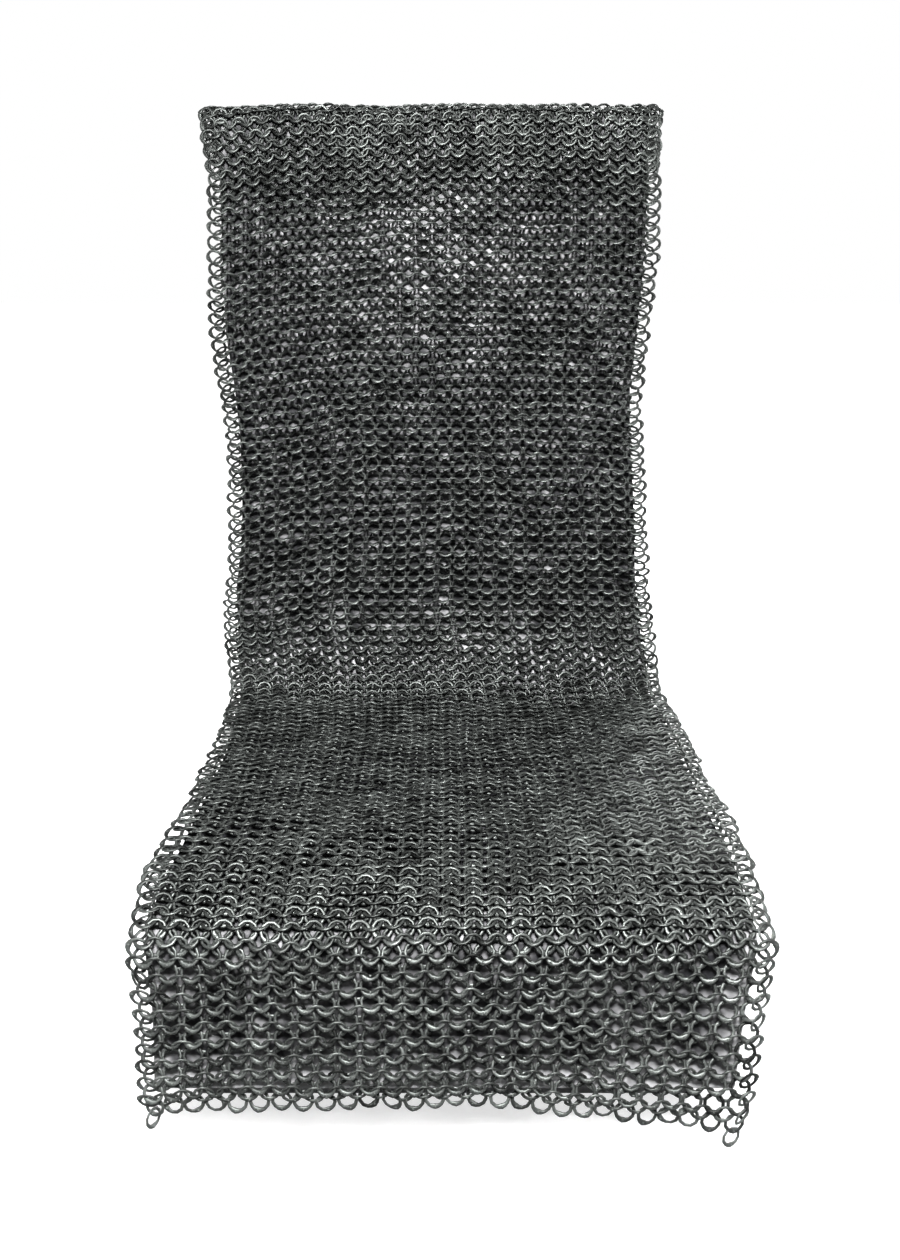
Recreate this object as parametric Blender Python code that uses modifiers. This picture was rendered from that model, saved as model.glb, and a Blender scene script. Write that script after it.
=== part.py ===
"""A skirt of riveted mail, opened out into one sheet and laid over a plain display stand.

Metres, +Z up, front towards -Y. The origin is at the middle of the underside of the stand's base.
The mail is a wall that follows one path: up the front drop, over the tight front bend, up the
gentle slope to the level seat, up the crease and the leaning back, over the top and down behind as
a short flap. Its stretches are
separate solids, a seam's gap apart. The stand is a set of boards that keep clear of the mail. Those
under the mail follow its outline, an inset inside its edges.
"""

import math

import bmesh
import bpy

# Gaps
SEAM = 0.0003
CLEARANCE = 0.001

# The mail: a wall as thick as two leaning rings, on this path
MAIL_THICKNESS = 0.008
SEAT_HEIGHT = 0.180
DROP = 0.140
SEAT_DEPTH = 0.394
TOP_ABOVE_SEAT = 0.486
RECLINE = math.radians(4.2)
FRONT_BEND_R = 0.018
FRONT_BEND_TURN = math.radians(66)
FRONT_SLOPE_R = 0.250
CREASE_R = 0.055
TOP_R = 0.010
FLAP = 0.040

# The stand
BOARD = 0.012
FRONT_BOARD = 0.009
BACK_BOARD = 2 * (TOP_R - MAIL_THICKNESS / 2 - CLEARANCE)
INSET = 0.010
BASE_WIDTH = 0.330
LIP_DROP = 0.130
BASE_FRONT = 0.070
RIB_SPACING = 0.220
RIB_SETBACK = 0.012
RIB_REACH = 0.030
COVE_EDGE = 0.001
EDGE_ROUND = 0.0012
TOP_ROUND = math.radians(72)

# Straights and bends of the path, from the hem up
FRONT_SLOPE_TURN = math.pi / 2 - FRONT_BEND_TURN
FRONT_RUN = FRONT_BEND_R * (1 - math.cos(FRONT_BEND_TURN)) + FRONT_SLOPE_R * math.sin(FRONT_SLOPE_TURN)
FRONT_FALL = FRONT_BEND_R * math.sin(FRONT_BEND_TURN) + FRONT_SLOPE_R * (1 - math.cos(FRONT_SLOPE_TURN))
CREASE_TURN = math.pi / 2 - RECLINE
CREASE_TANGENT = CREASE_R * math.tan(CREASE_TURN / 2)
SEAT_STRAIGHT = SEAT_DEPTH - FRONT_RUN - CREASE_TANGENT
CREASE_RISE = CREASE_R * (1 - math.cos(CREASE_TURN))
TOP_RISE = TOP_R * (1 - math.cos(CREASE_TURN))
BACK_STRAIGHT = (TOP_ABOVE_SEAT - CREASE_RISE - TOP_RISE) / math.cos(RECLINE)
PATH = (
    # straight length, radius of the bend after it, turn of that bend (+ turns upwards)
    (DROP - FRONT_FALL, FRONT_BEND_R, -FRONT_BEND_TURN),
    (0.0, FRONT_SLOPE_R, -FRONT_SLOPE_TURN),
    (SEAT_STRAIGHT, CREASE_R, CREASE_TURN),
    (BACK_STRAIGHT, TOP_R, -math.pi / 2 - CREASE_TURN),
    (FLAP, 0.0, 0.0),
)

# Where the bends start and end, as distances up the path from the hem
FRONT_BEND_START = DROP - FRONT_FALL
FRONT_BEND_END = FRONT_BEND_START + FRONT_BEND_R * FRONT_BEND_TURN
SLOPE_END = FRONT_BEND_END + FRONT_SLOPE_R * FRONT_SLOPE_TURN
CREASE_START = SLOPE_END + SEAT_STRAIGHT
CREASE_END = CREASE_START + CREASE_R * CREASE_TURN
TOP_START = CREASE_END + BACK_STRAIGHT
TOP_END = TOP_START + TOP_R * (math.pi / 2 + CREASE_TURN)
FLAP_END = TOP_END + FLAP

# The sheet's width and the sideways shift of its middle, by distance from the hem
SECTIONS = (
    # distance, width, shift
    (0.000, 0.376, 0.0015),
    (0.060, 0.377, 0.0045),
    (0.112, 0.384, 0.0060),
    (0.164, 0.380, 0.0064),
    (0.204, 0.373, 0.0075),
    (0.394, 0.372, 0.0065),
    (0.444, 0.376, 0.0055),
    (0.489, 0.371, 0.0020),
    (0.521, 0.376, -0.0010),
    (0.569, 0.371, -0.0070),
    (0.614, 0.362, -0.0050),
    (0.674, 0.356, -0.0055),
    (0.737, 0.353, -0.0090),
    (0.794, 0.365, -0.0105),
    (0.859, 0.371, -0.0085),
    (0.939, 0.372, -0.0080),
    (0.979, 0.378, -0.0085),
    (1.054, 0.374, -0.0085),
)

# How far the hem's two corners sag below its middle, and where across the sheet the sag begins
LEFT_SAG = 0.006
RIGHT_SAG = 0.015
SAG_STARTS = 0.25

# The mail's stretches, from the hem up
BACK_THIRD = BACK_STRAIGHT / 3
STRETCHES = (
    # node, lower end, upper end, rows of faces
    ("mail_front_drop", 0.0, FRONT_BEND_START, 6),
    ("mail_front_bend", FRONT_BEND_START, FRONT_BEND_END, 8),
    ("mail_seat_front", FRONT_BEND_END, SLOPE_END, 8),
    ("mail_seat_rear", SLOPE_END, CREASE_START, 10),
    ("mail_crease", CREASE_START, CREASE_END, 10),
    ("mail_back_lower", CREASE_END, CREASE_END + BACK_THIRD, 7),
    ("mail_back_middle", CREASE_END + BACK_THIRD, CREASE_END + 2 * BACK_THIRD, 7),
    ("mail_back_upper", CREASE_END + 2 * BACK_THIRD, TOP_START, 7),
    ("mail_top_turn", TOP_START, TOP_END, 12),
    ("mail_back_flap", TOP_END, FLAP_END, 2),
)
MAIL_COLUMNS = 16

MAIL_MATERIAL = ("blackened_steel", (0.055, 0.056, 0.054), 0.45, 1.0)
STAND_MATERIAL = ("pale_stand", (0.78, 0.77, 0.79), 0.55, 0.0)


def path_point(distance):
    """The path's y, z and heading at a distance from the hem, with y from the front and z from the floor."""
    y, z, heading = 0.0, SEAT_HEIGHT - DROP, math.pi / 2
    for straight, radius, turn in PATH:
        run = min(distance, straight)
        y += run * math.cos(heading)
        z += run * math.sin(heading)
        distance -= run
        if distance <= 0 or radius == 0:
            break
        side = math.copysign(1, turn)
        turned = min(distance / radius, abs(turn))
        centre_y = y - side * radius * math.sin(heading)
        centre_z = z + side * radius * math.cos(heading)
        heading += side * turned
        y = centre_y + side * radius * math.sin(heading)
        z = centre_z - side * radius * math.cos(heading)
        distance -= turned * radius
    return y, z, heading


# The object's front and back, whose middle is the origin
FRONT = -MAIL_THICKNESS / 2
REAR = path_point(FLAP_END)[0] + MAIL_THICKNESS / 2
MIDDLE_Y = (FRONT + REAR) / 2


def offset_point(distance, depth):
    """A point that lies a depth under the path, on the stand's side of the mail."""
    y, z, heading = path_point(distance)
    return y - MIDDLE_Y + depth * math.sin(heading), z - depth * math.cos(heading)


def section(distance):
    """The sheet's width and shift at a distance from the hem, by a cubic through the sections."""
    last = len(SECTIONS) - 2
    i = max(k for k in range(last + 1) if k == 0 or SECTIONS[k][0] <= distance)
    low, high = SECTIONS[i], SECTIONS[i + 1]
    before, after = SECTIONS[max(i - 1, 0)], SECTIONS[min(i + 2, last + 1)]
    span = high[0] - low[0]
    t = min(max((distance - low[0]) / span, 0.0), 1.0)
    values = []
    for column in (1, 2):
        slope_low = (high[column] - before[column]) / (high[0] - before[0]) * span
        slope_high = (after[column] - low[column]) / (after[0] - low[0]) * span
        values.append(
            (1 + 2 * t) * (1 - t) ** 2 * low[column]
            + t * (1 - t) ** 2 * slope_low
            + t * t * (3 - 2 * t) * high[column]
            + t * t * (t - 1) * slope_high
        )
    return values


def sag(across, distance):
    """How far the drop's rows hang below the path's own distance, most at the hem's corners."""
    beyond = max(abs(across) - SAG_STARTS, 0.0) / (1 - SAG_STARTS)
    corner = LEFT_SAG if across < 0 else RIGHT_SAG
    fade = min(max(1 - distance / FRONT_BEND_START, 0.0), 1.0)
    return corner * beyond**2 * fade


def mail_point(across, distance, depth):
    """A point in the mail's wall, with across from -1 at the left edge to 1 at the right."""
    width, shift = section(distance)
    y, z = offset_point(distance - sag(across, distance), depth)
    return shift + across * width / 2, y, z


def make_material(name, colour, roughness, metallic):
    material = bpy.data.materials.new(name)
    material.use_nodes = True
    shader = material.node_tree.nodes["Principled BSDF"]
    shader.inputs["Base Color"].default_value = (*colour, 1)
    shader.inputs["Roughness"].default_value = roughness
    shader.inputs["Metallic"].default_value = metallic
    return material


def add_object(name, data, collection, material):
    made = bpy.data.objects.new(name, data)
    data.materials.append(make_material(f"{material[0]}_{name}", *material[1:]))
    collection.objects.link(made)
    return made


def cut_in_strips(slab, axis, count):
    """Cuts a block that reaches from -1 to 1 into equal strips across one of its axes."""
    normal = [0, 0, 0]
    normal[axis] = 1
    for k in range(1, count):
        place = [0, 0, 0]
        place[axis] = 2 * k / count - 1
        geometry = [*slab.verts, *slab.edges, *slab.faces]
        bmesh.ops.bisect_plane(slab, geom=geometry, plane_co=place, plane_no=normal)


def make_form(name, columns, rows, point, collection, material):
    """A block cut in columns and rows, whose corners each move to point(across, up, out)."""
    block = bmesh.new()
    bmesh.ops.create_cube(block, size=2)
    cut_in_strips(block, 0, columns)
    cut_in_strips(block, 1, rows)
    for vertex in block.verts:
        vertex.co = point(*vertex.co)
    mesh = bpy.data.meshes.new(name)
    block.to_mesh(mesh)
    block.free()
    mesh.shade_smooth()
    mesh.set_sharp_from_angle(angle=math.radians(40))
    return add_object(name, mesh, collection, material)


def share(value):
    """A block's place from -1 to 1 as a share from 0 to 1."""
    return (value + 1) / 2


def make_stretch(name, low, high, rows, collection):
    """One stretch of the mail, bent along the path."""
    start = low + (SEAM / 2 if low > 0 else 0)
    end = high - (SEAM / 2 if high < FLAP_END else 0)

    def point(across, up, out):
        return mail_point(across, start + share(up) * (end - start), -out * MAIL_THICKNESS / 2)

    return make_form(name, MAIL_COLUMNS, rows, point, collection, MAIL_MATERIAL)


def round_edges(board):
    edges = board.modifiers.new("edges", "BEVEL")
    edges.width = EDGE_ROUND
    edges.segments = 2
    edges.limit_method = "ANGLE"
    edges.angle_limit = math.radians(40)


def make_board(name, outline, width, collection, middle=0.0):
    """A board cut to a side outline of (y, z) points and as wide as stated across X."""
    curve = bpy.data.curves.new(name, "CURVE")
    curve.dimensions = "2D"
    curve.fill_mode = "BOTH"
    curve.extrude = width / 2
    spline = curve.splines.new("POLY")
    spline.points.add(len(outline) - 1)
    for point, (y, z) in zip(spline.points, outline):
        point.co = (y, z, 0, 1)
    spline.use_cyclic_u = True
    board = add_object(name, curve, collection, STAND_MATERIAL)
    board.rotation_euler = (math.pi / 2, 0, math.pi / 2)
    board.location.x = middle
    weld = board.modifiers.new("weld", "WELD")
    weld.merge_threshold = 0.00005
    round_edges(board)
    return board


STAND_DEPTH = MAIL_THICKNESS / 2 + CLEARANCE


def inset_x(across, distance):
    """Where a board's side edge lies under the mail at a distance from the hem."""
    width, shift = section(distance)
    return shift + across * (width / 2 - INSET)


def back_face(height, depth):
    """The y of the plane at a depth under the leaning back, at a height."""
    y, z = offset_point(CREASE_END, depth)
    return y + (height - z) * math.tan(RECLINE)


def make_back_board(collection):
    """The leaning board, from the base up, with a round top under the mail's turn."""
    foot = BOARD + SEAM
    top_y, top_z = offset_point(TOP_START, TOP_R)
    crease_z = offset_point(CREASE_END, TOP_R)[1]
    straight_share = 0.75

    def point(across, up, out):
        climb = min(share(up) / straight_share, 1)
        turn = max(share(up) - straight_share, 0) / (1 - straight_share) * TOP_ROUND
        z = foot + climb * (top_z - foot)
        distance = CREASE_END + max(z - crease_z, 0) / math.cos(RECLINE)
        y = top_y + (z - top_z) * math.tan(RECLINE)
        radius = BACK_BOARD / 2
        y -= radius * out * math.cos(turn) / math.cos(RECLINE)
        return inset_x(across, distance), y, z + radius * math.sin(turn)

    board = make_form("stand_back_board", 1, 20, point, collection, STAND_MATERIAL)
    round_edges(board)
    return board


def make_seat_panel(collection):
    top = SEAT_HEIGHT - STAND_DEPTH
    front = offset_point(SLOPE_END, STAND_DEPTH)[0] + SEAM

    def point(across, up, out):
        z = top - share(-out) * BOARD
        rear = back_face(z, STAND_DEPTH) - SEAM
        y = front + share(up) * (rear - front)
        return inset_x(across, SLOPE_END + y - front), y, z

    board = make_form("stand_seat_panel", 1, 8, point, collection, STAND_MATERIAL)
    round_edges(board)
    return board


def make_cove(collection):
    """The hollow fillet that carries the mail from the seat up to the back, with blunt edges."""
    blunt = math.acos(1 - COVE_EDGE / (CREASE_R + STAND_DEPTH))
    low = CREASE_START + CREASE_R * blunt
    high = CREASE_END - CREASE_R * blunt
    floor = SEAT_HEIGHT - STAND_DEPTH + SEAM
    front_y = offset_point(low, STAND_DEPTH)[0]
    corner_y = back_face(floor, STAND_DEPTH) - SEAM
    high_z = offset_point(high, STAND_DEPTH)[1]

    def point(across, up, out):
        distance = low + share(up) * (high - low)
        x = inset_x(across, distance)
        if out > 0:
            return x, *offset_point(distance, STAND_DEPTH)
        if up <= 0:
            return x, front_y + (up + 1) * (corner_y - front_y), floor
        z = floor + up * (high_z - floor)
        return x, back_face(z, STAND_DEPTH) - SEAM, z

    return make_form("stand_cove", 1, 8, point, collection, STAND_MATERIAL)


def make_front_edge(collection):
    """The sloped front of the seat, its edge and the lip behind the mail's drop, as one bent board."""
    # where the board's rows of faces pass from the lip to the bend and from the bend to the slope
    lip, bend = 0.25, 0.60
    lip_end = DROP - LIP_DROP

    def board_distance(place):
        if place < lip:
            return lip_end + place / lip * (FRONT_BEND_START - lip_end)
        if place < bend:
            return FRONT_BEND_START + (place - lip) / (bend - lip) * (FRONT_BEND_END - FRONT_BEND_START)
        return FRONT_BEND_END + (place - bend) / (1 - bend) * (SLOPE_END - FRONT_BEND_END)

    def point(across, up, out):
        distance = board_distance(share(up))
        depth = STAND_DEPTH + share(-out) * FRONT_BOARD
        return inset_x(across, distance), *offset_point(distance, depth)

    board = make_form("stand_front_edge", 1, 20, point, collection, STAND_MATERIAL)
    round_edges(board)
    return board


def make_rib(side, collection):
    """An upright board from the base to the seat panel, which reaches under the front slope."""
    foot = BOARD + SEAM
    top = SEAT_HEIGHT - STAND_DEPTH - BOARD - SEAM
    under_slope = STAND_DEPTH + FRONT_BOARD + SEAM
    steps = 3
    reach = [offset_point(SLOPE_END - k / steps * RIB_REACH, under_slope) for k in range(steps + 1)]
    outline = [
        (reach[-1][0], foot),
        (back_face(foot, STAND_DEPTH) - SEAM, foot),
        (back_face(top, STAND_DEPTH) - SEAM, top),
        (reach[0][0], top),
        *reach,
    ]
    name = "stand_rib_left" if side < 0 else "stand_rib_right"
    return make_board(name, outline, BOARD, collection, middle=side * RIB_SPACING / 2)


def make_base(collection):
    front = BASE_FRONT - MIDDLE_Y
    rear = back_face(0, STAND_DEPTH + BACK_BOARD) + RIB_SETBACK
    outline = [(front, 0), (rear, 0), (rear, BOARD), (front, BOARD)]
    return make_board("stand_base", outline, BASE_WIDTH, collection)


def main():
    for old in list(bpy.data.objects):
        bpy.data.objects.remove(old)
    collection = bpy.data.collections.new("mail_skirt_on_stand")
    bpy.context.scene.collection.children.link(collection)
    for name, low, high, rows in STRETCHES:
        make_stretch(name, low, high, rows, collection)
    make_back_board(collection)
    make_seat_panel(collection)
    make_cove(collection)
    make_front_edge(collection)
    make_rib(-1, collection)
    make_rib(1, collection)
    make_base(collection)


main()
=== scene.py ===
"""Looks of the mail skirt on its stand: every ring, linked and riveted, in place of the plain walls.

The path and the sheet's sections repeat the sizes of part.py. A ring's place is a distance up the
path from the hem and a place across the sheet. Metres and radians, in the row's frame.
"""

import math

import bpy
import numpy as np
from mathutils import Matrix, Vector


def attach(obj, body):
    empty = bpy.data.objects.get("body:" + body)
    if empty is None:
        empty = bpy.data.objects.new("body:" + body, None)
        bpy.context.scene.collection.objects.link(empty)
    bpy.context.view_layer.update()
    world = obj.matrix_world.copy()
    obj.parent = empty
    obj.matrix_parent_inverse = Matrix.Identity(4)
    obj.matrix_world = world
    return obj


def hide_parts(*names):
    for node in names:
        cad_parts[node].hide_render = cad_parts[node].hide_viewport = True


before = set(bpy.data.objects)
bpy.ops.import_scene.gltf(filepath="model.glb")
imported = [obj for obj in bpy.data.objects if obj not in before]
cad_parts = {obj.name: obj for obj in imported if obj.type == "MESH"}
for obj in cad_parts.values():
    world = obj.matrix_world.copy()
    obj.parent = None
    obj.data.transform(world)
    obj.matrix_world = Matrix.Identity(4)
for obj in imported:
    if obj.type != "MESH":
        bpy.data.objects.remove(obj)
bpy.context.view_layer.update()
SEED = 21

# ---------------------------------------------------------------- the path, as in part.py
SEAT_HEIGHT = 0.180
DROP = 0.140
SEAT_DEPTH = 0.394
TOP_ABOVE_SEAT = 0.486
RECLINE = math.radians(4.2)
FRONT_BEND_R = 0.018
FRONT_BEND_TURN = math.radians(66)
FRONT_SLOPE_R = 0.250
CREASE_R = 0.055
TOP_R = 0.010
FLAP = 0.040

CREASE_TURN = math.pi / 2 - RECLINE
FRONT_SLOPE_TURN = math.pi / 2 - FRONT_BEND_TURN
FRONT_RUN = FRONT_BEND_R * (1 - math.cos(FRONT_BEND_TURN)) + FRONT_SLOPE_R * math.sin(FRONT_SLOPE_TURN)
FRONT_FALL = FRONT_BEND_R * math.sin(FRONT_BEND_TURN) + FRONT_SLOPE_R * (1 - math.cos(FRONT_SLOPE_TURN))
SEAT_STRAIGHT = SEAT_DEPTH - FRONT_RUN - CREASE_R * math.tan(CREASE_TURN / 2)
BENDS_RISE = (CREASE_R + TOP_R) * (1 - math.cos(CREASE_TURN))
BACK_STRAIGHT = (TOP_ABOVE_SEAT - BENDS_RISE) / math.cos(RECLINE)
FRONT_BEND_START = DROP - FRONT_FALL
FRONT_BEND_END = FRONT_BEND_START + FRONT_BEND_R * FRONT_BEND_TURN
SLOPE_END = FRONT_BEND_END + FRONT_SLOPE_R * FRONT_SLOPE_TURN
CREASE_START = SLOPE_END + SEAT_STRAIGHT
CREASE_END = CREASE_START + CREASE_R * CREASE_TURN
TOP_START = CREASE_END + BACK_STRAIGHT
TOP_END = TOP_START + TOP_R * (math.pi / 2 + CREASE_TURN)
FLAP_END = TOP_END + FLAP

# The path is summed in steps of this length, and it runs on straight beyond both ends
PATH_STEP = 0.00025
PATH_SPARE = 0.05
# The headings of the path: it turns steadily between these distances
HEADINGS = (
    # distance, heading
    (-PATH_SPARE, math.pi / 2),
    (FRONT_BEND_START, math.pi / 2),
    (FRONT_BEND_END, FRONT_SLOPE_TURN),
    (SLOPE_END, 0.0),
    (CREASE_START, 0.0),
    (CREASE_END, CREASE_TURN),
    (TOP_START, CREASE_TURN),
    (TOP_END, -math.pi / 2),
    (FLAP_END + PATH_SPARE, -math.pi / 2),
)

# About half the sheet's width, which makes metres of a share of it
HALF_WIDTH = 0.19
# The sheet's width and the sideways shift of its middle, by distance from the hem
SECTIONS = (
    # distance, width, shift
    (0.000, 0.376, 0.0015),
    (0.060, 0.377, 0.0045),
    (0.112, 0.384, 0.0060),
    (0.164, 0.380, 0.0064),
    (0.204, 0.373, 0.0075),
    (0.394, 0.372, 0.0065),
    (0.444, 0.376, 0.0055),
    (0.489, 0.371, 0.0020),
    (0.521, 0.376, -0.0010),
    (0.569, 0.371, -0.0070),
    (0.614, 0.362, -0.0050),
    (0.674, 0.356, -0.0055),
    (0.737, 0.353, -0.0090),
    (0.794, 0.365, -0.0105),
    (0.859, 0.371, -0.0085),
    (0.939, 0.372, -0.0080),
    (0.979, 0.378, -0.0085),
    (1.054, 0.374, -0.0085),
)

# ---------------------------------------------------------------- the stand's paint, with painted shade and painted light where the mail lies
PAINT = (0.78, 0.775, 0.79, 1)
# This dark colour is painted shade: the shade that falls in the gaps under the mail, painted onto the
# board
PAINTED_SHADE_COLOUR = (0.05, 0.05, 0.055, 1)
PAINT_ROUGHNESS = 0.5
# How lit the paint is painted: 0 is the painted shade and 1 is the plain paint, with cloudy patches of
# painted light and shade this strong and fine
PAINTED_LIGHT_BASE = 0.10
PAINTED_LIGHT_NOISE = 2.4
PAINTED_LIGHT_NOISE_SCALE = 80
# The faces that look this way lie under the mail and get the painted shade, and the others keep the plain
# paint
MAIL_SIDE = (0, -0.7, 0.7)
# An area's whole strength reaches this share of the way to its rim
PAINTED_LIGHT_CORE = 0.3
# Painted light at the upper middle of the back, on the front lip, near the lip's lower edge and at its
# two sides, deeper painted shade on the seat, painted light at the crease, and plain paint on the back
# board below the seat
PAINTED_LIGHT_AREAS = (
    # middle, reach along x, y and z, strength
    ((0.0, 0.24, 0.54), (0.16, 0.20, 0.14), 0.27),
    ((0.0, -0.23, 0.08), (0.60, 0.06, 0.20), 0.14),
    ((0.0, -0.23, 0.035), (0.60, 0.06, 0.042), 1.20),
    ((-0.185, -0.23, 0.10), (0.024, 0.06, 0.12), 1.00),
    ((0.190, -0.23, 0.10), (0.024, 0.06, 0.12), 1.00),
    ((0.0, -0.02, 0.18), (0.60, 0.19, 0.08), -0.80),
    ((0.0, 0.17, 0.20), (0.60, 0.07, 0.07), 0.50),
    ((0.0, 0.20, 0.07), (0.60, 0.15, 0.11), 6.00),
)

# ---------------------------------------------------------------- one ring
RING_OUTER = 0.0136
RING_INNER = 0.0093
RING_THICK = 0.0011
RING_R = (RING_OUTER + RING_INNER) / 4
RING_WIDE = (RING_OUTER - RING_INNER) / 2
LAP_WIDE = 0.0039
LAP_THICK = 0.0014
# The lap swells up to its middle from this far round the ring, by this power
LAP_REACH = math.radians(48)
LAP_SWELL = 1.15
# The flat of a ring's face, as a share of its width
FLAT_SHARE = 0.45
RIVET_R = 0.0010
RIVET_RISE = 0.0006
RIVET_SINK = 0.0001
RIVET_SIDES = 5
# How much paler than its ring's own tone each place on a ring is painted: laps and rivets are worn paler,
# and the rims are darker, which is painted shade between the rings
FACE_WEAR = 0.0
# The rims' darkening is painted shade between the rings
RIM_PAINTED_SHADE = -0.08
LAP_WEAR = 0.15
RIVET_WEAR = 0.4
# The angles in degrees round a ring, from its lap, where its section is made
RING_ANGLES = (0, 20, 42, 73, 108, 144, 180, 216, 252, 287, 318, 340)
STEEL_DARK = (0.0405, 0.0425, 0.0405, 1)
STEEL_WORN = (0.312, 0.332, 0.318, 1)

# ---------------------------------------------------------------- how the rings lie
RINGS_ACROSS = 29
# The middles of the first row's rings, as a distance from the hem
FIRST_ROW = RING_OUTER / 2 - 0.0005
# Each ring is turned a little about its own upright, so that its neighbours in the row pass it
SHINGLE = math.radians(6)

# Smooth unevenness over the sheet, in waves
ALONG_WAVES = (14, 0.20, 0.035)  # how many waves, the longest and the shortest
ACROSS_WAVES = (10, 0.25, 0.05)
LEAN_WAVES = (12, 0.16, 0.03)
LIFT_WAVES = (8, 0.22, 0.06)
# How much the waves move, lean and lift a ring
ALONG_REACH = 0.0017
ACROSS_REACH = 0.0012
LEAN_REACH = math.radians(5)
LIFT_REACH = 0.0006
# How much each ring differs from its neighbours besides
ALONG_SCATTER = 0.00014
ACROSS_SCATTER = 0.00016
LIFT_SCATTER = 0.00012
TURN_SCATTER = math.radians(2)
SLANT_SCATTER = 0.03
# A ring's slant follows its row's slope by this share
SLANT_SHARE = 0.8
# Most laps are near the ring's lower side, and the others anywhere
LAPS_BELOW = 0.85
LAP_SCATTER = 0.3
END_LAP_SCATTER = 0.4
# Each ring's own tone, from 0 for dark to 1 for pale
TONE = 0.5
TONE_SCATTER = 0.22

# The rings at the rows' ends turn over the board's edge, lean less, and their neighbours pull them in
END_TURN = (0.0, 0.6)
END_LEAN = (0.6, 1.0)
END_PULL = (0.0020, 0.0036)
# The rows are this much wider to make up for that
END_SPREAD = 0.0066

# The hem's rings hang free: about upright, a little nearer to the board than the rows above
HEM_LEAN = math.radians(3)
HEM_SWING = math.radians(8)
HEM_SINK = -0.0024
HEM_DROOP = 0.0018

# How the rows lie: the length of a pair of rows and the lean of the rings, by distance
ROWS = (
    # distance, pair of rows, lean in degrees
    (-0.02, 0.0115, 18),
    (0.060, 0.0113, 18),
    (0.095, 0.0104, 18),
    (0.112, 0.0086, 19),
    (0.160, 0.0083, 14),
    (0.205, 0.0100, 12),
    (0.300, 0.0110, 12),
    (0.414, 0.0106, 15),
    (0.474, 0.0092, 27),
    (0.524, 0.0096, 34),
    (0.574, 0.0107, 43),
    (0.734, 0.0106, 45),
    (0.894, 0.0100, 45),
    (0.944, 0.0088, 22),
    (0.974, 0.0086, 14),
    (1.054, 0.0086, 14),
)

# Rings that dangle from the hem's corners, a little behind the path
DANGLERS_BACK = 0.0010
DANGLER_TONE = 0.8
DANGLERS = (
    # x, distance, yaw
    (-0.1765, -0.0072, math.radians(60)),
    (0.1785, -0.0210, math.radians(25)),
)

# How far the mail stands off the path: it hangs slack down the back, and is tight over the top
SLACK = (
    # distance, in the middle, at the sides
    (0.000, 0.0016, 0.0016),
    (0.514, 0.0016, 0.0016),
    (0.594, 0.0042, 0.0042),
    (0.754, 0.0044, 0.0046),
    (0.804, 0.0018, 0.0048),
    (0.894, 0.0016, 0.0046),
    (0.944, 0.0006, 0.0014),
    (0.969, -0.0016, -0.0018),
    (1.054, -0.0014, -0.0014),
)

# How far the rows' ends lie up the path from their middles
ROW_SHIFTS = (
    # distance, left end, right end
    (0.000, -0.006, -0.022),
    (0.100, -0.002, -0.003),
    (0.150, 0.004, 0.002),
    (0.226, 0.014, 0.010),
    (0.394, 0.014, 0.012),
    (0.464, 0.002, 0.004),
    (0.534, -0.006, 0.000),
    (0.644, -0.014, -0.003),
    (0.824, -0.013, -0.004),
    (0.924, -0.009, -0.005),
    (0.979, -0.002, -0.002),
    (1.054, 0.000, 0.000),
)
# The shift begins at this share of the way out and grows by this power
SHIFT_STARTS = 0.15
SHIFT_POWER = 1.6

# Each stretch of rings replaces one CAD node
STRETCHES = (
    # node, upper end, what it lies on
    ("mail_front_drop", FRONT_BEND_START, "stand_front_edge"),
    ("mail_front_bend", FRONT_BEND_END, "stand_front_edge"),
    ("mail_seat_front", SLOPE_END, "stand_front_edge"),
    ("mail_seat_rear", CREASE_START, "stand_seat_panel"),
    ("mail_crease", CREASE_END, "stand_cove"),
    ("mail_back_lower", CREASE_END + BACK_STRAIGHT / 3, "stand_back_board"),
    ("mail_back_middle", CREASE_END + 2 * BACK_STRAIGHT / 3, "stand_back_board"),
    ("mail_back_upper", TOP_START, "stand_back_board"),
    ("mail_top_turn", TOP_END, "stand_back_board"),
    ("mail_back_flap", FLAP_END, "stand_back_board"),
)


def column(table, index, distance):
    """One column of a table at some distances, by straight runs between its rows."""
    rows = np.array(table, float)
    return np.interp(distance, rows[:, 0], rows[:, index])


def smooth_column(table, index, distance):
    """One column of a table, by a cubic through its rows with the slopes that part.py uses."""
    rows = np.array(table, float)
    x, v = rows[:, 0], rows[:, index]
    slopes = np.gradient(v, x)
    slopes[1:-1] = (v[2:] - v[:-2]) / (x[2:] - x[:-2])
    i = np.clip(np.searchsorted(x, distance, side="right") - 1, 0, len(x) - 2)
    span = x[i + 1] - x[i]
    t = np.clip((distance - x[i]) / span, 0, 1)
    return (
        (1 + 2 * t) * (1 - t) ** 2 * v[i]
        + t * (1 - t) ** 2 * slopes[i] * span
        + t * t * (3 - 2 * t) * v[i + 1]
        + t * t * (t - 1) * slopes[i + 1] * span
    )


# The path itself, summed in short steps, with the object's middle at y = 0
STEPS = np.arange(-PATH_SPARE, FLAP_END + PATH_SPARE, PATH_STEP)
STEP_HEADINGS = column(HEADINGS, 1, STEPS)
MIDS = column(HEADINGS, 1, STEPS[:-1] + PATH_STEP / 2)
PATH_Y = np.concatenate([[0], np.cumsum(np.cos(MIDS) * PATH_STEP)])
PATH_Z = np.concatenate([[0], np.cumsum(np.sin(MIDS) * PATH_STEP)])
PATH_Y -= np.interp(0, STEPS, PATH_Y)
PATH_Z += SEAT_HEIGHT - DROP - np.interp(0, STEPS, PATH_Z)
MIDDLE_Y = np.interp(FLAP_END, STEPS, PATH_Y) / 2
PATH_Y -= MIDDLE_Y


def path_frame(distance):
    """Points on the path with their headings."""
    return (
        np.interp(distance, STEPS, PATH_Y),
        np.interp(distance, STEPS, PATH_Z),
        np.interp(distance, STEPS, STEP_HEADINGS),
    )


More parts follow.
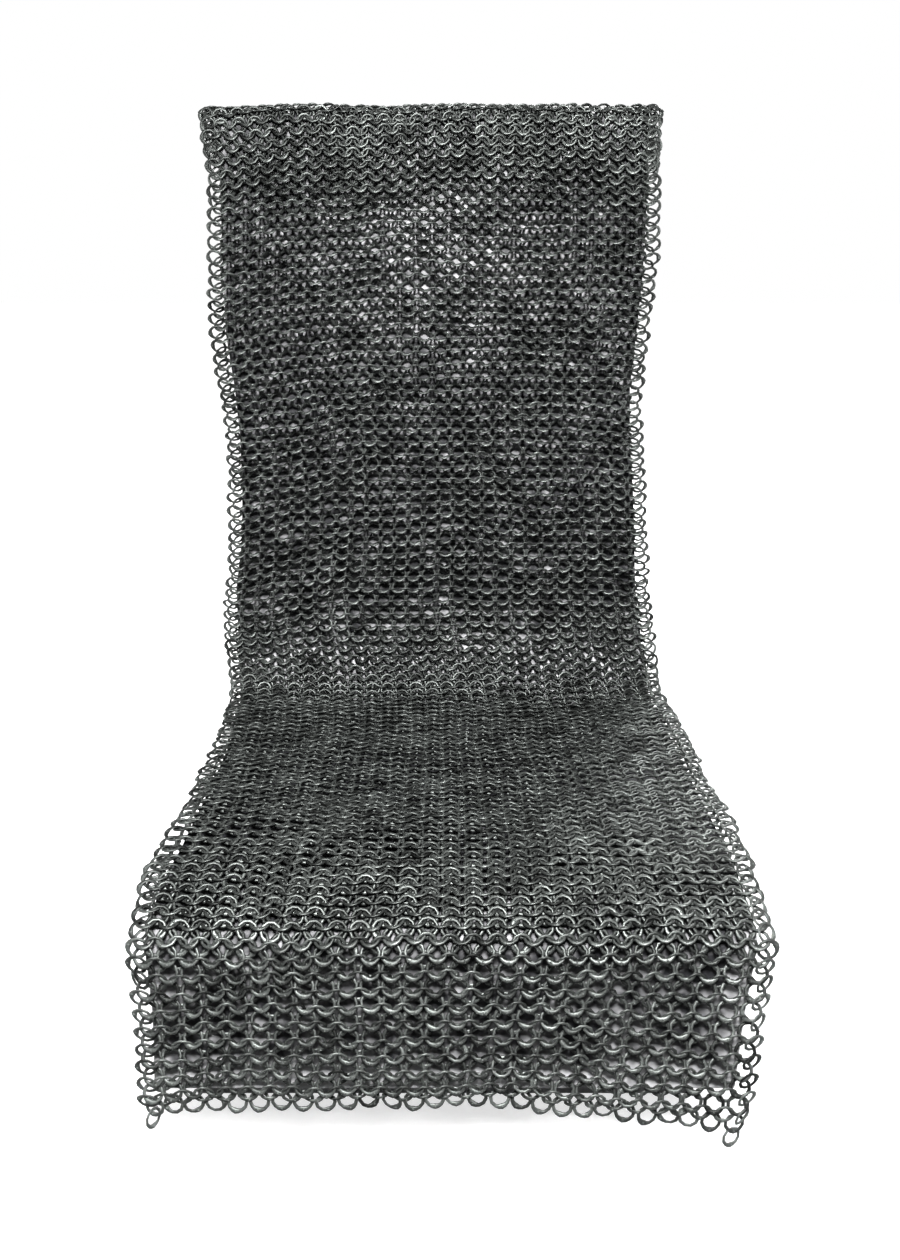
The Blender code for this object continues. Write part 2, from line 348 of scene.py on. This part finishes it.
def waves(rng, count, longest, shortest):
    """A smooth uneven field over the sheet, about -1 to 1, as a sum of waves of random direction."""
    lengths = np.exp(rng.uniform(math.log(shortest), math.log(longest), count))
    angles = rng.uniform(0, math.pi, count)
    phases = rng.uniform(0, 2 * math.pi, count)
    kx, ks = np.cos(angles) / lengths, np.sin(angles) / lengths

    def field(x, s):
        cycles = np.outer(x, kx) + np.outer(s, ks)
        return np.sin(2 * math.pi * cycles + phases).sum(1) / math.sqrt(count / 2) * 0.7

    return field


def row_distances():
    """The distance of each row from the hem, until the flap ends."""
    rows = [FIRST_ROW]
    while rows[-1] < FLAP_END - RING_OUTER / 2:
        rows.append(rows[-1] + float(column(ROWS, 1, rows[-1])) / 2)
    return np.array(rows)


def turns(axis, angles):
    """Matrices that turn about one axis, 0 for X to 2 for Z, by each of some angles."""
    made = np.zeros((len(angles), 3, 3))
    second, third = (axis + 1) % 3, (axis + 2) % 3
    made[:, axis, axis] = 1
    made[:, second, second] = made[:, third, third] = np.cos(angles)
    made[:, third, second] = np.sin(angles)
    made[:, second, third] = -np.sin(angles)
    return made


def ring_grid():
    """Each ring's row, its place in the row, counted from the middle, and its row's distance."""
    distances = row_distances()
    row, place = [], []
    for i in range(len(distances)):
        count = RINGS_ACROSS - 1 if i % 2 == 0 else RINGS_ACROSS
        row += [i] * count
        place += list(np.arange(count) - (count - 1) / 2)
    row = np.array(row)
    return row, np.array(place, float), distances[row]


def row_shift(share, s, wander):
    """How far a place in a row lies up the path from the row's own distance."""
    beyond = np.clip((np.abs(share) - SHIFT_STARTS) / (1 - SHIFT_STARTS), 0, None)
    ends = np.where(share < 0, smooth_column(ROW_SHIFTS, 1, s), smooth_column(ROW_SHIFTS, 2, s))
    return ends * beyond**SHIFT_POWER + ALONG_REACH * wander(share * HALF_WIDTH, s)


def row_slope(share, s, wander):
    """The slope of a row there, which turns its rings in the sheet's plane."""
    step = 0.01
    rise = row_shift(share + step, s, wander) - row_shift(share - step, s, wander)
    return rise / (2 * step * HALF_WIDTH)


def add_danglers(at, centre, turn, tone):
    """The same arrays with the rings that dangle from the hem's corners added."""
    upright = np.array([[1, 0, 0], [0, 0, -1], [0, 1, 0]])
    for x, distance, yaw in DANGLERS:
        y, z, _ = path_frame(distance)
        at = np.append(at, distance)
        centre = np.append(centre, [[x, y + DANGLERS_BACK, z]], 0)
        turn = np.append(turn, upright @ turns(1, [yaw]) @ turns(2, [-math.pi / 2]), 0)
        tone = np.append(tone, DANGLER_TONE)
    return at, centre, turn, tone


def lay_rings(rng):
    """Every ring's distance up the path, centre, turn and tone, as arrays."""
    row, place, s = ring_grid()
    n = len(s)
    outward = np.where(row % 2 == 1, 1.0, -1.0)
    end = np.abs(place) == (RINGS_ACROSS - 1) / 2
    side = np.sign(place[end])
    hem = row == 0
    along_waves = waves(rng, *ALONG_WAVES)
    across_waves = waves(rng, *ACROSS_WAVES)
    lean_waves = waves(rng, *LEAN_WAVES)
    lift_waves = waves(rng, *LIFT_WAVES)

    # places on the sheet and on the path
    width = smooth_column(SECTIONS, 1, s)
    pitch = (width - RING_OUTER + END_SPREAD) / (RINGS_ACROSS - 1)
    x = place * pitch
    share = x / (width / 2)
    at = s + row_shift(share, s, along_waves)
    x = x + smooth_column(SECTIONS, 2, s) + ACROSS_REACH * across_waves(share * HALF_WIDTH, s)
    y, z, heading = path_frame(at)
    across = np.tile([1.0, 0, 0], (n, 1))
    up = np.stack([np.zeros(n), np.cos(heading), np.sin(heading)], -1)
    normal = np.stack([np.zeros(n), -np.sin(heading), np.cos(heading)], -1)

    # centres
    slack_middle, slack_side = column(SLACK, 1, s), column(SLACK, 2, s)
    slack = slack_middle + (slack_side - slack_middle) * np.clip(np.abs(share), 0, 1)
    lift = slack + LIFT_REACH * lift_waves(x, s) + rng.normal(0, LIFT_SCATTER, n)
    centre = np.stack([x, y, z], -1) + normal * lift[:, None]
    centre += across * rng.normal(0, ACROSS_SCATTER, (n, 1)) + up * rng.normal(0, ALONG_SCATTER, (n, 1))

    # turns: every second row leans out, and the rows between lean in
    lean = np.radians(column(ROWS, 2, s)) + LEAN_REACH * lean_waves(x, s)
    lean = lean + rng.normal(0, TURN_SCATTER, n)
    yaw = outward * SHINGLE + rng.normal(0, TURN_SCATTER, n)
    yaw[end] += side * rng.uniform(*END_TURN, end.sum())
    lean[end] *= rng.uniform(*END_LEAN, end.sum())
    centre[end] -= (side * rng.uniform(*END_PULL, end.sum()))[:, None] * across[end]
    lean[hem] = rng.normal(HEM_LEAN, HEM_SWING, hem.sum())
    yaw[hem] = rng.normal(0, HEM_SWING, hem.sum())
    centre[hem] += HEM_SINK * normal[hem] - rng.uniform(0, HEM_DROOP, (hem.sum(), 1)) * up[hem]
    slant = np.arctan(row_slope(share, s, along_waves)) * SLANT_SHARE + rng.normal(0, SLANT_SCATTER, n)
    turn = np.stack([across, up, normal], -1) @ turns(2, slant) @ turns(1, yaw) @ turns(0, outward * lean)

    # laps and tones
    below = rng.random(n) < LAPS_BELOW
    lap = np.where(below, rng.normal(-math.pi / 2, LAP_SCATTER, n), rng.uniform(-math.pi, math.pi, n))
    lap[end] = np.where(side < 0, math.pi, 0) + rng.normal(0, END_LAP_SCATTER, end.sum())
    turn = turn @ turns(2, lap)
    tone = np.clip(rng.normal(TONE, TONE_SCATTER, n), 0, 1)
    return add_danglers(at, centre, turn, tone)


def ring_shape():
    """One ring's points, quads, triangles and each point's wear and painted shade, lap at +X, rivet
    towards +Z.
    """
    angles = np.radians(RING_ANGLES)
    from_lap = np.abs((angles + math.pi) % (2 * math.pi) - math.pi)
    lap = np.clip(1 - from_lap / LAP_REACH, 0, 1) ** LAP_SWELL
    wide = (RING_WIDE + (LAP_WIDE - RING_WIDE) * lap) / 2
    thick = (RING_THICK + (LAP_THICK - RING_THICK) * lap) / 2
    flat = FLAT_SHARE
    section = ((1, 0), (flat, 1), (-flat, 1), (-1, 0), (-flat, -1), (flat, -1))
    points, wear_and_shade = [], []
    for k, angle in enumerate(angles):
        for out, rise in section:
            r = RING_R + out * wide[k]
            points.append((r * math.cos(angle), r * math.sin(angle), rise * thick[k]))
            wear_and_shade.append((FACE_WEAR if rise else RIM_PAINTED_SHADE) + LAP_WEAR * lap[k])
    sides, quads = len(section), []
    for k in range(len(angles)):
        low, high = k * sides, (k + 1) % len(angles) * sides
        for j in range(sides):
            m = (j + 1) % sides
            quads.append((low + j, high + j, high + m, low + m))
    base = len(points)
    top = LAP_THICK / 2
    for a in np.arange(RIVET_SIDES) * 2 * math.pi / RIVET_SIDES:
        points.append((RING_R + RIVET_R * math.cos(a), RIVET_R * math.sin(a), top - RIVET_SINK))
    points += [(RING_R, 0, top + RIVET_RISE), (RING_R, 0, 0)]
    head, root = base + RIVET_SIDES, base + RIVET_SIDES + 1
    wear_and_shade += [RIVET_WEAR] * (RIVET_SIDES + 2)
    triangles = []
    for j in range(RIVET_SIDES):
        m = (j + 1) % RIVET_SIDES
        triangles += [(base + j, base + m, head), (base + m, base + j, root)]
    return np.array(points), np.array(quads), np.array(triangles), np.array(wear_and_shade)


def steel():
    """Blackened steel: dark and oily, paler where it is worn, on laps and on rivets, and darker on the
    rims as painted shade.
    """
    material = bpy.data.materials.new("blackened_steel")
    material.use_nodes = True
    nodes, links = material.node_tree.nodes, material.node_tree.links
    shader = nodes["Principled BSDF"]
    shader.inputs["Metallic"].default_value = 0.7
    tone = nodes.new("ShaderNodeAttribute")
    tone.attribute_name = "tone"
    ramp = nodes.new("ShaderNodeValToRGB")
    ramp.color_ramp.elements[0].color = STEEL_DARK
    ramp.color_ramp.elements[1].color = STEEL_WORN
    place = nodes.new("ShaderNodeTexCoord")
    mottle = nodes.new("ShaderNodeTexNoise")
    mottle.inputs["Scale"].default_value = 900
    mottle.inputs["Detail"].default_value = 3
    # the ramp reads the tone, up to a quarter more or less where it is mottled
    lowered = nodes.new("ShaderNodeMath")
    lowered.operation = "SUBTRACT"
    lowered.inputs[1].default_value = 0.25
    mottled = nodes.new("ShaderNodeMath")
    mottled.operation = "MULTIPLY_ADD"
    mottled.inputs[1].default_value = 0.5
    links.new(place.outputs["Object"], mottle.inputs["Vector"])
    links.new(tone.outputs["Fac"], lowered.inputs[0])
    links.new(mottle.outputs["Fac"], mottled.inputs[0])
    links.new(lowered.outputs[0], mottled.inputs[2])
    links.new(mottled.outputs[0], ramp.inputs["Fac"])
    links.new(ramp.outputs["Color"], shader.inputs["Base Color"])
    rough = nodes.new("ShaderNodeMapRange")
    rough.inputs["To Min"].default_value = 0.38
    rough.inputs["To Max"].default_value = 0.60
    links.new(mottle.outputs["Fac"], rough.inputs["Value"])
    links.new(rough.outputs[0], shader.inputs["Roughness"])
    bump = nodes.new("ShaderNodeBump")
    bump.inputs["Strength"].default_value = 0.35
    bump.inputs["Distance"].default_value = 0.0002
    links.new(mottle.outputs["Fac"], bump.inputs["Height"])
    links.new(bump.outputs["Normal"], shader.inputs["Normal"])
    return material


def make_stretch(node, rings, low, high, material):
    """All the rings of one stretch as a joined mesh that replaces its CAD node."""
    at, centre, turn, tone = rings
    chosen = (at >= low) & (at < high)
    points, quads, triangles, wear_and_shade = ring_shape()
    count = int(chosen.sum())
    placed = np.einsum("rij,pj->rpi", turn[chosen], points) + centre[chosen][:, None, :]
    first = (np.arange(count) * len(points))[:, None, None]
    loops = np.concatenate(
        [(quads[None] + first).reshape(count, -1), (triangles[None] + first).reshape(count, -1)], 1
    )
    sizes = np.tile(np.concatenate([np.full(len(quads), 4), np.full(len(triangles), 3)]), count)
    mesh = bpy.data.meshes.new(node + "_rings")
    mesh.vertices.add(count * len(points))
    mesh.vertices.foreach_set("co", placed.astype(np.float32).ravel())
    mesh.loops.add(loops.size)
    mesh.loops.foreach_set("vertex_index", loops.astype(np.int32).ravel())
    mesh.polygons.add(len(sizes))
    starts = np.concatenate([[0], np.cumsum(sizes)[:-1]])
    mesh.polygons.foreach_set("loop_start", starts.astype(np.int32))
    mesh.update(calc_edges=True)
    mesh.shade_smooth()
    tones = mesh.attributes.new("tone", "FLOAT", "POINT")
    shades = tone[chosen][:, None] + wear_and_shade[None]
    tones.data.foreach_set("value", shades.astype(np.float32).ravel())
    mesh.materials.append(material)
    piece = bpy.data.objects.new(node + "_rings", mesh)
    bpy.context.scene.collection.objects.link(piece)
    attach(piece, "root")
    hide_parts(node)
    width = float(smooth_column(SECTIONS, 1, (max(low, 0) + min(high, FLAP_END)) / 2))


def clean_paint():
    """Smooth off-white paint, for the boards that the mail doesn't touch."""
    material = bpy.data.materials.new("clean_paint")
    material.use_nodes = True
    shader = material.node_tree.nodes["Principled BSDF"]
    shader.inputs["Base Color"].default_value = PAINT
    shader.inputs["Roughness"].default_value = PAINT_ROUGHNESS
    return material


def shaded_board_paint():
    """The same paint with painted shade on the faces that the mail lies on, and painted light in paler
    patches.
    """
    material = bpy.data.materials.new("shaded_board_paint")
    material.use_nodes = True
    nodes, links = material.node_tree.nodes, material.node_tree.links

    def step(kind, operation, *values):
        """A maths node with its inputs linked or set."""
        node = nodes.new(kind)
        node.operation = operation
        for socket, value in zip(node.inputs, values):
            if isinstance(value, bpy.types.NodeSocket):
                links.new(value, socket)
            else:
                socket.default_value = value
        return node

    def ranged(value, low, high, at_low, at_high):
        """A value between two limits, mapped to a steady change between two others."""
        node = nodes.new("ShaderNodeMapRange")
        links.new(value, node.inputs["Value"])
        node.inputs["From Min"].default_value = low
        node.inputs["From Max"].default_value = high
        node.inputs["To Min"].default_value = at_low
        node.inputs["To Max"].default_value = at_high
        return node.outputs[0]

    geometry = nodes.new("ShaderNodeNewGeometry")
    place = geometry.outputs["Position"]
    noise = nodes.new("ShaderNodeTexNoise")
    noise.inputs["Scale"].default_value = PAINTED_LIGHT_NOISE_SCALE
    links.new(place, noise.inputs["Vector"])
    lowest = PAINTED_LIGHT_BASE - PAINTED_LIGHT_NOISE / 2
    painted_light = step("ShaderNodeMath", "MULTIPLY_ADD", noise.outputs["Fac"], PAINTED_LIGHT_NOISE, lowest)
    for middle, reach, strength in PAINTED_LIGHT_AREAS:
        away = step("ShaderNodeVectorMath", "SUBTRACT", place, middle)
        scaled = step("ShaderNodeVectorMath", "DIVIDE", away.outputs[0], reach)
        length = step("ShaderNodeVectorMath", "LENGTH", scaled.outputs[0])
        near = ranged(length.outputs["Value"], PAINTED_LIGHT_CORE, 1.0, strength, 0.0)
        painted_light = step("ShaderNodeMath", "ADD", painted_light.outputs[0], near)
    facing = step("ShaderNodeVectorMath", "DOT_PRODUCT", geometry.outputs["Normal"], MAIL_SIDE)
    turned_away = ranged(facing.outputs["Value"], 0.1, 0.3, 2.0, 0.0)
    painted_light = step("ShaderNodeMath", "ADD", painted_light.outputs[0], turned_away)
    # The ramp paints the shade that falls under the mail, and paler patches of painted light
    ramp = nodes.new("ShaderNodeValToRGB")
    ramp.color_ramp.elements[0].color = PAINTED_SHADE_COLOUR
    ramp.color_ramp.elements[1].color = PAINT
    links.new(painted_light.outputs[0], ramp.inputs["Fac"])
    shader = nodes["Principled BSDF"]
    links.new(ramp.outputs["Color"], shader.inputs["Base Color"])
    shader.inputs["Roughness"].default_value = PAINT_ROUGHNESS
    return material


def make_floor():
    """A wide pale floor just under the stand, which looks white and throws little light back."""
    mesh = bpy.data.meshes.new("floor")
    reach, level = 40, -0.0005
    corners = [(x * reach, y * reach, level) for x, y in ((-1, -1), (1, -1), (1, 1), (-1, 1))]
    mesh.from_pydata(corners, [], [(0, 1, 2, 3)])
    material = bpy.data.materials.new("floor")
    material.use_nodes = True
    nodes, links = material.node_tree.nodes, material.node_tree.links
    shader = nodes["Principled BSDF"]
    shader.inputs["Roughness"].default_value = 0.9
    path = nodes.new("ShaderNodeLightPath")
    mix = nodes.new("ShaderNodeMixRGB")
    mix.inputs["Color1"].default_value = (0.06, 0.06, 0.06, 1)
    mix.inputs["Color2"].default_value = (0.35, 0.35, 0.35, 1)
    links.new(path.outputs["Is Camera Ray"], mix.inputs["Fac"])
    links.new(mix.outputs["Color"], shader.inputs["Base Color"])
    glow = nodes.new("ShaderNodeMath")
    glow.operation = "MULTIPLY"
    glow.inputs[1].default_value = 0.72
    links.new(path.outputs["Is Camera Ray"], glow.inputs[0])
    links.new(glow.outputs[0], shader.inputs["Emission Strength"])
    shader.inputs["Emission Color"].default_value = (1, 1, 1, 1)
    mesh.materials.append(material)
    floor = bpy.data.objects.new("floor", mesh)
    bpy.context.scene.collection.objects.link(floor)
    return floor


def soft_lamp(name, place, target, size, power):
    """A round lamp that looks from its place at a target."""
    data = bpy.data.lights.new(name, "AREA")
    data.shape = "DISK"
    data.size = size
    data.energy = power
    lamp = bpy.data.objects.new(name, data)
    bpy.context.scene.collection.objects.link(lamp)
    lamp.location = place
    lamp.rotation_euler = (Vector(target) - Vector(place)).to_track_quat("-Z", "Y").to_euler()
    lamp.visible_camera = False


def light_floor(floor):
    """A sun for the floor alone, so that it is evenly white as far as it goes."""
    only = bpy.data.collections.new("sunlit")
    only.objects.link(floor)
    data = bpy.data.lights.new("floor_sun", "SUN")
    data.energy = 4.0
    data.angle = math.radians(50)
    sun = bpy.data.objects.new("floor_sun", data)
    bpy.context.scene.collection.objects.link(sun)
    sun.rotation_euler = (math.radians(20), 0, 0)
    sun.light_linking.receiver_collection = only


def make_lights():
    """A lamp above the front, others behind and low at the sides, and a dim room that looks white."""
    world = bpy.data.worlds.new("studio")
    bpy.context.scene.world = world
    world.use_nodes = True
    nodes, links = world.node_tree.nodes, world.node_tree.links
    path = nodes.new("ShaderNodeLightPath")
    mix = nodes.new("ShaderNodeMixRGB")
    mix.inputs["Color1"].default_value = (0.008, 0.008, 0.008, 1)
    mix.inputs["Color2"].default_value = (1, 1, 1, 1)
    links.new(path.outputs["Is Camera Ray"], mix.inputs["Fac"])
    links.new(mix.outputs["Color"], nodes["Background"].inputs["Color"])
    middle = (0, 0, SEAT_HEIGHT)
    soft_lamp("key", (0, -1.05, 1.11), middle, 0.26, 32)
    soft_lamp("rear_fill", (0.5, 2.2, 1.5), (0, 0.2, 0.3), 1.0, 50)
    for side in (-1, 1):
        soft_lamp("side_fill", (side * 1.9, 0.3, 0.11), (0, 0.1, 0.09), 0.16, 10)
    view = bpy.context.scene.view_settings
    view.view_transform = "Standard"
    view.gamma = 0.85


def make_camera():
    """The camera stands in front of the drop, above the seat, and looks down a little."""
    aside, before_drop, above_seat = 0.0054, 0.662, 0.344
    degrees_down = 15.3
    data = bpy.data.cameras.new("camera")
    data.sensor_width = 36
    data.lens = 35.83
    data.clip_end = 200
    camera = bpy.data.objects.new("camera", data)
    bpy.context.scene.collection.objects.link(camera)
    camera.location = (aside, -MIDDLE_Y - before_drop, SEAT_HEIGHT + above_seat)
    camera.rotation_euler = (math.radians(90 - degrees_down), 0, 0)
    bpy.context.scene.camera = camera


mail = lay_rings(np.random.default_rng(SEED))
mail_steel = steel()
# The first and the last stretch also take the rings that hang or reach past the path's ends
limits = [-math.inf, *(high for _, high, _ in STRETCHES[:-1]), math.inf]
for (node, _, lies_on), low, high in zip(STRETCHES, limits, limits[1:]):
    make_stretch(node, mail, low, high, mail_steel)

bare, covered = clean_paint(), shaded_board_paint()
for name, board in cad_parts.items():
    if name.startswith("stand_"):
        board.data.materials.clear()
        board.data.materials.append(bare if "rib" in name or "base" in name else covered)

light_floor(make_floor())
make_lights()
make_camera()
